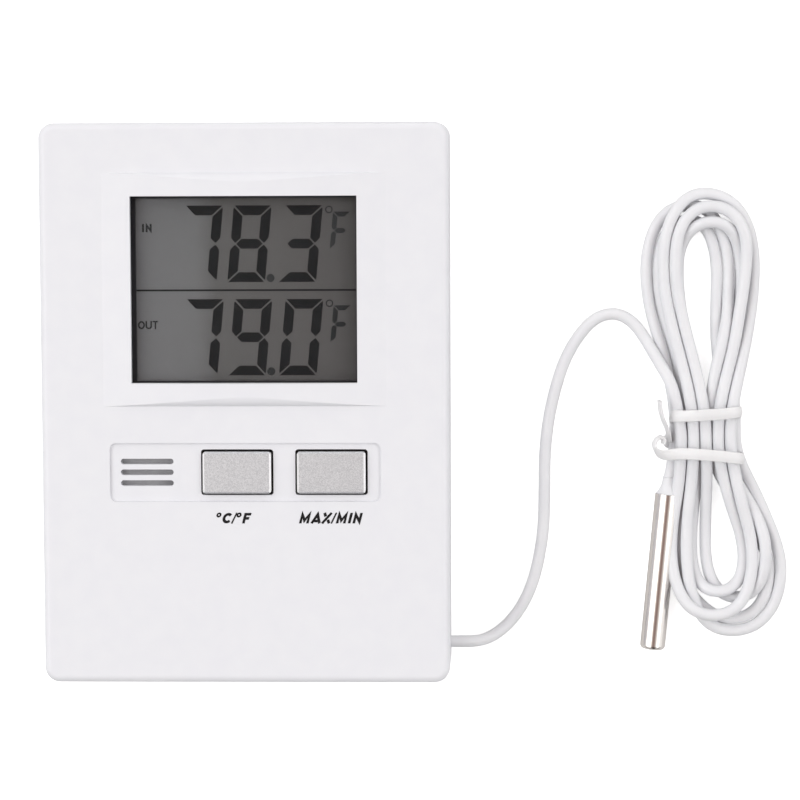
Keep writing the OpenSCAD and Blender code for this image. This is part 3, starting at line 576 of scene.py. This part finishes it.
def surface(name, colour, other, rough=(0.4, 0.5), grain=900, bump=0.05, **values):
    """A material whose colour, roughness and relief vary at the scale of its grain, in grains per metre."""
    material = bpy.data.materials.new(name)
    material.use_nodes = True
    tree = material.node_tree
    shader = tree.nodes["Principled BSDF"]
    for socket, value in values.items():
        shader.inputs[socket.replace("_", " ")].default_value = value
    place = tree.nodes.new("ShaderNodeTexCoord").outputs["Object"]
    fine, broad = tree.nodes.new("ShaderNodeTexNoise"), tree.nodes.new("ShaderNodeTexNoise")
    for noise, scale in ((fine, grain), (broad, grain / PATCH)):
        noise.inputs["Scale"].default_value = scale
        noise.inputs["Detail"].default_value = NOISE_DETAIL
        tree.links.new(place, noise.inputs["Vector"])
    mix = tree.nodes.new("ShaderNodeMix")
    mix.data_type = "RGBA"
    mix.inputs[6].default_value = (*colour, 1)
    mix.inputs[7].default_value = (*other, 1)
    blend = tree.nodes.new("ShaderNodeMapRange")
    blend.inputs["From Min"].default_value = 0.35
    blend.inputs["From Max"].default_value = 0.65
    tree.links.new(broad.outputs["Fac"], blend.inputs["Value"])
    tree.links.new(blend.outputs["Result"], mix.inputs[0])
    tree.links.new(mix.outputs[2], shader.inputs["Base Color"])
    gloss = tree.nodes.new("ShaderNodeMapRange")
    gloss.inputs["From Min"].default_value = 0.3
    gloss.inputs["From Max"].default_value = 0.7
    gloss.inputs["To Min"].default_value, gloss.inputs["To Max"].default_value = rough
    tree.links.new(fine.outputs["Fac"], gloss.inputs["Value"])
    tree.links.new(gloss.outputs["Result"], shader.inputs["Roughness"])
    relief = tree.nodes.new("ShaderNodeBump")
    relief.inputs["Strength"].default_value = bump
    relief.inputs["Distance"].default_value = 0.3 / grain
    tree.links.new(fine.outputs["Fac"], relief.inputs["Height"])
    tree.links.new(relief.outputs["Normal"], shader.inputs["Normal"])
    return material


def color_ramp(tree, bands):
    """A ramp through (place from 0 to 1, colour) pairs."""
    ramp = tree.nodes.new("ShaderNodeValToRGB")
    stops = ramp.color_ramp.elements
    while len(stops) < len(bands):
        stops.new(0.5)
    for stop, (at, colour) in zip(stops, bands):
        stop.position = at
        stop.color = (*colour, 1)
    return ramp


# The silver paint: flakes per metre, the height below which the cap is painted near black as painted shade of
# the gap round the key, and its tones, with a painted highlight for the side bevels
FLAKES = 6500
GAP_SHADE_BELOW = 0.0196
PAINT_LIGHT, PAINT_DARK = (0.735, 0.745, 0.765), (0.535, 0.545, 0.565)
# A painted highlight for the side bevels, and a near-black painted shade for the gap round the key
PAINTED_BEVEL_HIGHLIGHT, PAINTED_GAP_SHADE = (1, 1, 1), (0.03, 0.03, 0.03)


def mixed(tree, factor, first, second):
    """A colour mix; first is a socket and second is a colour."""
    mix = tree.nodes.new("ShaderNodeMix")
    mix.data_type = "RGBA"
    tree.links.new(factor, mix.inputs[0])
    tree.links.new(first, mix.inputs[6])
    mix.inputs[7].default_value = (*second, 1)
    return mix.outputs[2]


def painted_cap(material):
    """Silver paint of two-tone flakes with a painted highlight on the side bevels; below it the cap is
    painted near black as painted shade of the gap round the key.
    """
    tree = material.node_tree
    place = tree.nodes["Texture Coordinate"]
    flakes = tree.nodes.new("ShaderNodeTexVoronoi")
    flakes.inputs["Scale"].default_value = FLAKES
    tree.links.new(place.outputs["Object"], flakes.inputs["Vector"])
    tone = tree.nodes.new("ShaderNodeSeparateColor")
    tree.links.new(flakes.outputs["Color"], tone.inputs["Color"])
    ramp = color_ramp(tree, [(0, PAINT_DARK), (1, PAINT_LIGHT)])
    tree.links.new(tone.outputs["Red"], ramp.inputs["Fac"])
    facing, height = tree.nodes.new("ShaderNodeSeparateXYZ"), tree.nodes.new("ShaderNodeSeparateXYZ")
    tree.links.new(place.outputs["Normal"], facing.inputs["Vector"])
    tree.links.new(place.outputs["Object"], height.inputs["Vector"])
    side, gap_shade_mask = tree.nodes.new("ShaderNodeMath"), tree.nodes.new("ShaderNodeMath")
    side.operation = "ABSOLUTE"
    tree.links.new(facing.outputs["X"], side.inputs[0])
    gap_shade_mask.operation = "LESS_THAN"
    gap_shade_mask.inputs[1].default_value = GAP_SHADE_BELOW
    tree.links.new(height.outputs["Z"], gap_shade_mask.inputs[0])
    # The side bevels get a painted highlight; below the paint's level the cap gets painted shade of the gap
    # round the key
    paint_and_highlight = mixed(tree, side.outputs[0], ramp.outputs["Color"], PAINTED_BEVEL_HIGHLIGHT)
    base = mixed(tree, gap_shade_mask.outputs[0], paint_and_highlight, PAINTED_GAP_SHADE)
    tree.links.new(base, tree.nodes["Principled BSDF"].inputs["Base Color"])
    return material


def banded(material, bands, axis="X"):
    """Colours a material in bands along one axis of the part, as (place in metres, colour) pairs."""
    tree = material.node_tree
    split = tree.nodes.new("ShaderNodeSeparateXYZ")
    tree.links.new(tree.nodes["Texture Coordinate"].outputs["Object"], split.inputs["Vector"])
    span = tree.nodes.new("ShaderNodeMapRange")
    first, last = bands[0][0], bands[-1][0]
    span.inputs["From Min"].default_value = first
    span.inputs["From Max"].default_value = last
    tree.links.new(split.outputs[axis], span.inputs["Value"])
    ramp = color_ramp(tree, [((at - first) / (last - first), colour) for at, colour in bands])
    tree.links.new(span.outputs["Result"], ramp.inputs["Fac"])
    tree.links.new(ramp.outputs["Color"], tree.nodes["Principled BSDF"].inputs["Base Color"])
    return material


def lets_lamps_through(material):
    """Lets shadow rays pass a clear pane, so that what is under it is lit."""
    tree = material.node_tree
    clear, mix = tree.nodes.new("ShaderNodeBsdfTransparent"), tree.nodes.new("ShaderNodeMixShader")
    path, output = tree.nodes.new("ShaderNodeLightPath"), tree.nodes["Material Output"]
    tree.links.new(path.outputs["Is Shadow Ray"], mix.inputs["Fac"])
    tree.links.new(tree.nodes["Principled BSDF"].outputs["BSDF"], mix.inputs[1])
    tree.links.new(clear.outputs["BSDF"], mix.inputs[2])
    tree.links.new(mix.outputs["Shader"], output.inputs["Surface"])
    return material


# The plain colours of button_silver, polariser_film and cell_jacket are overruled by their flakes or bands


def case_finishes():
    return {
        "case_white": surface("case_white", (0.735, 0.74, 0.775), (0.75, 0.755, 0.785), (0.36, 0.46),
                              3500, 0.10),
        "button_silver": painted_cap(surface(
            "button_silver", (0.5, 0.5, 0.5), (0.5, 0.5, 0.5), (0.3, 0.48), 5000, 0.12, Metallic=0.55)),
        "screen_felt": surface("screen_felt", (0.36, 0.36, 0.37), (0.29, 0.29, 0.3), (0.8, 0.95), 4000, 0.5)}


def display_finishes():
    return {
        "window_clear": lets_lamps_through(surface(
            "window_clear", (0.97, 0.975, 0.98), (0.96, 0.97, 0.975), (0.02, 0.04), 600, 0.01,
            Transmission_Weight=1.0, IOR=1.2)),
        "holder_black": surface("holder_black", (0.035, 0.034, 0.042), (0.045, 0.044, 0.05), (0.5, 0.62),
                                3000, 0.15),
        # The film is painted lighter to the left and darker to the right: a painted reflection across the
        # display
        "polariser_film": banded(
            surface("polariser_film", (0.08, 0.08, 0.08), (0.08, 0.08, 0.08), (0.32, 0.42), 900, 0.02,
                    Specular_IOR_Level=0.2),
            [(-0.023, (0.118, 0.118, 0.122)), (-0.0095, (0.112, 0.112, 0.114)),
             (-0.0055, (0.079, 0.077, 0.076)), (0.012, (0.070, 0.067, 0.066)),
             (0.023, (0.060, 0.058, 0.058))]),
        "display_glass": surface("display_glass", (0.3, 0.33, 0.31), (0.26, 0.3, 0.28), (0.05, 0.1),
                                 500, 0.01),
        "reflector_foil": surface("reflector_foil", (0.5, 0.5, 0.5), (0.44, 0.44, 0.44), (0.3, 0.45),
                                  2000, 0.1, Metallic=0.9)}


def inner_finishes():
    return {
        "contact_rubber": surface("contact_rubber", (0.03, 0.03, 0.03), (0.045, 0.045, 0.045), (0.7, 0.85),
                                  2500, 0.2),
        "dome_rubber": surface("dome_rubber", (0.48, 0.48, 0.5), (0.42, 0.42, 0.44), (0.6, 0.75),
                               1800, 0.15),
        "board_green": surface("board_green", (0.015, 0.12, 0.045), (0.02, 0.16, 0.06), (0.25, 0.4),
                               1500, 0.1),
        "epoxy_black": surface("epoxy_black", (0.02, 0.02, 0.02), (0.03, 0.03, 0.03), (0.3, 0.5),
                               1500, 0.12),
        "crystal_can": surface("crystal_can", (0.6, 0.6, 0.58), (0.5, 0.5, 0.49), (0.22, 0.35), 3000, 0.08,
                               Metallic=1.0),
        "component_brown": surface("component_brown", (0.3, 0.18, 0.1), (0.24, 0.14, 0.08), (0.4, 0.6),
                                   4000, 0.1),
        "cell_jacket": banded(
            surface("cell_jacket", (0.1, 0.1, 0.1), (0.1, 0.1, 0.1), (0.2, 0.32), 2500, 0.04, Metallic=0.35),
            [(-0.0196, (0.55, 0.54, 0.5)), (-0.0191, (0.55, 0.54, 0.5)), (-0.0190, (0.03, 0.06, 0.14)),
             (0.0105, (0.04, 0.08, 0.18)), (0.0107, (0.55, 0.3, 0.12)), (0.0233, (0.6, 0.34, 0.14)),
             (0.0235, (0.6, 0.6, 0.56)), (0.0249, (0.6, 0.6, 0.56))]),
        "contact_nickel": surface("contact_nickel", (0.62, 0.6, 0.55), (0.52, 0.5, 0.46), (0.2, 0.36),
                                  2500, 0.08, Metallic=1.0),
        "lead_red": surface("lead_red", (0.5, 0.02, 0.015), (0.42, 0.02, 0.015), (0.35, 0.5), 2500, 0.06),
        "lead_black": surface("lead_black", (0.02, 0.02, 0.02), (0.03, 0.03, 0.03), (0.35, 0.5),
                              2500, 0.06)}


def cord_finishes():
    return {
        "cord_white": surface("cord_white", (0.76, 0.765, 0.785), (0.73, 0.735, 0.76), (0.38, 0.5),
                              2200, 0.08, Subsurface_Weight=0.08, Subsurface_Radius=(0.001, 0.001, 0.001)),
        "tie_white": surface("tie_white", (0.79, 0.79, 0.795), (0.75, 0.75, 0.76), (0.32, 0.46),
                             1800, 0.12, Subsurface_Weight=0.1, Subsurface_Radius=(0.001, 0.001, 0.001)),
        "screw_steel": surface("screw_steel", (0.55, 0.55, 0.54), (0.4, 0.4, 0.4), (0.25, 0.42),
                               3000, 0.12, Metallic=1.0),
        "probe_nickel": surface("probe_nickel", (0.80, 0.765, 0.735), (0.74, 0.70, 0.67), (0.06, 0.13),
                                1200, 0.03, Metallic=1.0)}


def ink_finishes():
    return {
        "ink": surface("ink", (0.008, 0.007, 0.008), (0.014, 0.013, 0.014), (0.45, 0.55), 4000, 0.05,
                       Specular_IOR_Level=0.15),
        "digit_black": surface("digit_black", (0.005, 0.006, 0.007), (0.008, 0.009, 0.01), (0.4, 0.5),
                               3000, 0.04, Specular_IOR_Level=0.08),
        "digit_faint": surface("digit_faint", (0.012, 0.014, 0.015), (0.024, 0.026, 0.027), (0.4, 0.5),
                               700, 0.04, Specular_IOR_Level=0.1)}


def make_materials():
    """One material for each finish of the part, by the record's slot names."""
    return {**case_finishes(), **display_finishes(), **inner_finishes(), **cord_finishes(), **ink_finishes()}


# ---- Stage and light ----


# The floor's half width, the half width and half height of the opening under the case, and the floor's level
FLOOR_HALF, FLOOR_HOLE, FLOOR_Z = 4, (0.038, 0.053), -0.00005
FLOOR_GLOW = 0.7
FLOOR_NEAR = 0.0015


def make_stage():
    """A plain floor that the camera sees white.

    To show undersides it is open under the case, clear from below, and clear to rays shorter than FLOOR_NEAR.
    """
    mesh = bpy.data.meshes.new("floor")
    corners = [(x, y, FLOOR_Z) for w, h in ((FLOOR_HALF, FLOOR_HALF), FLOOR_HOLE)
               for x, y in ((-w, -h), (w, -h), (w, h), (-w, h))]
    mesh.from_pydata(corners, [], [(i, (i + 1) % 4, (i + 1) % 4 + 4, i + 4) for i in range(4)])
    floor = bpy.data.objects.new("floor", mesh)
    white = surface("floor_white", (0.66, 0.66, 0.66), (0.66, 0.66, 0.66), (0.7, 0.7), 1000, 0.0)
    tree = white.node_tree
    glow, path = tree.nodes.new("ShaderNodeMath"), tree.nodes.new("ShaderNodeLightPath")
    glow.operation = "MULTIPLY"
    glow.inputs[1].default_value = FLOOR_GLOW
    tree.links.new(path.outputs["Is Camera Ray"], glow.inputs[0])
    tree.links.new(glow.outputs[0], tree.nodes["Principled BSDF"].inputs["Emission Strength"])
    tree.nodes["Principled BSDF"].inputs["Emission Color"].default_value = (1, 1, 1, 1)
    near, clear = tree.nodes.new("ShaderNodeMath"), tree.nodes.new("ShaderNodeMath")
    near.operation, clear.operation = "LESS_THAN", "MAXIMUM"
    near.inputs[1].default_value = FLOOR_NEAR
    tree.links.new(path.outputs["Ray Length"], near.inputs[0])
    tree.links.new(near.outputs[0], clear.inputs[0])
    tree.links.new(tree.nodes.new("ShaderNodeNewGeometry").outputs["Backfacing"], clear.inputs[1])
    mix = tree.nodes.new("ShaderNodeMixShader")
    tree.links.new(clear.outputs[0], mix.inputs[0])
    tree.links.new(tree.nodes["Principled BSDF"].outputs[0], mix.inputs[1])
    tree.links.new(tree.nodes.new("ShaderNodeBsdfTransparent").outputs[0], mix.inputs[2])
    tree.links.new(mix.outputs[0], tree.nodes["Material Output"].inputs["Surface"])
    floor.data.materials.append(white)
    bpy.context.scene.collection.objects.link(floor)


# What stands round the part, by angle from overhead towards +X: walls, soft boxes and the dark camera stand,
# placed so that the probe reflects them as it does in the photograph
ROOM = [
    (-90, (0.33, 0.32, 0.315)), (-76, (0.33, 0.32, 0.315)), (-66, (0.42, 0.42, 0.42)), (-54, (1, 1, 1)),
    (-24, (1, 1, 1)), (-19, (0.46, 0.45, 0.44)), (-10, (0.21, 0.18, 0.17)), (-3, (0.12, 0.085, 0.075)),
    (9, (0.13, 0.095, 0.085)), (19, (0.24, 0.22, 0.21)), (28, (0.42, 0.41, 0.40)), (42, (1, 1, 1)),
    (51, (1, 1, 1)), (60, (0.52, 0.52, 0.52)), (90, (0.45, 0.45, 0.45))]
ROOM_STRENGTH = 2.9
# How bright the room is from its -Y end (0) to its +Y end (1), against overhead
ALONG_Y = [(0, 0.12), (0.25, 0.42), (0.45, 1), (0.6, 1), (0.85, 0.62), (1, 0.5)]
# What the camera sees past the floor, a little greyer than the floor itself
BACKDROP = (0.9, 0.9, 0.9, 1)


def make_light():
    """A studio painted on the sky, in bands along Y, darkest towards -Y; the camera sees BACKDROP."""
    world = bpy.data.worlds.new("studio")
    world.use_nodes = True
    tree = world.node_tree
    split = tree.nodes.new("ShaderNodeSeparateXYZ")
    tree.links.new(tree.nodes.new("ShaderNodeTexCoord").outputs["Generated"], split.inputs["Vector"])
    angle = tree.nodes.new("ShaderNodeMath")
    angle.operation = "ARCTAN2"
    tree.links.new(split.outputs["X"], angle.inputs[0])
    tree.links.new(split.outputs["Z"], angle.inputs[1])
    span = tree.nodes.new("ShaderNodeMapRange")
    span.inputs["From Min"].default_value = -math.pi / 2
    span.inputs["From Max"].default_value = math.pi / 2
    tree.links.new(angle.outputs[0], span.inputs["Value"])
    bands = color_ramp(tree, [((degrees + 90) / 180, colour) for degrees, colour in ROOM])
    tree.links.new(span.outputs["Result"], bands.inputs["Fac"])
    along = tree.nodes.new("ShaderNodeMapRange")
    along.inputs["From Min"].default_value = -1
    tree.links.new(split.outputs["Y"], along.inputs["Value"])
    fall = color_ramp(tree, [(at, (value, value, value)) for at, value in ALONG_Y])
    tree.links.new(along.outputs["Result"], fall.inputs["Fac"])
    level = tree.nodes.new("ShaderNodeMath")
    level.operation = "MULTIPLY"
    level.inputs[1].default_value = ROOM_STRENGTH
    tree.links.new(fall.outputs["Color"], level.inputs[0])
    sky = tree.nodes["Background"]
    tree.links.new(bands.outputs["Color"], sky.inputs["Color"])
    tree.links.new(level.outputs[0], sky.inputs["Strength"])
    plain, mix = tree.nodes.new("ShaderNodeBackground"), tree.nodes.new("ShaderNodeMixShader")
    plain.inputs["Color"].default_value = BACKDROP
    tree.links.new(tree.nodes.new("ShaderNodeLightPath").outputs["Is Camera Ray"], mix.inputs[0])
    tree.links.new(sky.outputs[0], mix.inputs[1])
    tree.links.new(plain.outputs[0], mix.inputs[2])
    tree.links.new(mix.outputs[0], tree.nodes["World Output"].inputs["Surface"])
    bpy.context.scene.world = world
    bpy.context.scene.view_settings.view_transform = "Standard"


make_camera()
finishes = make_materials()
make_tie(finishes["tie_white"])
make_boot(finishes["cord_white"])
make_cord(finishes["cord_white"])
make_display(finishes["digit_black"], finishes["digit_faint"])
make_labels(finishes["ink"])
for node in nodes.values():
    node.data.materials[0] = finishes[node.data.materials[0].name.split(".")[0]]
for dome, joint in (("dome_unit", "unit_press"), ("dome_memory", "memory_press")):
    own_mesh(nodes[dome])
make_stage()
make_light()

bpy.context.view_layer.update()
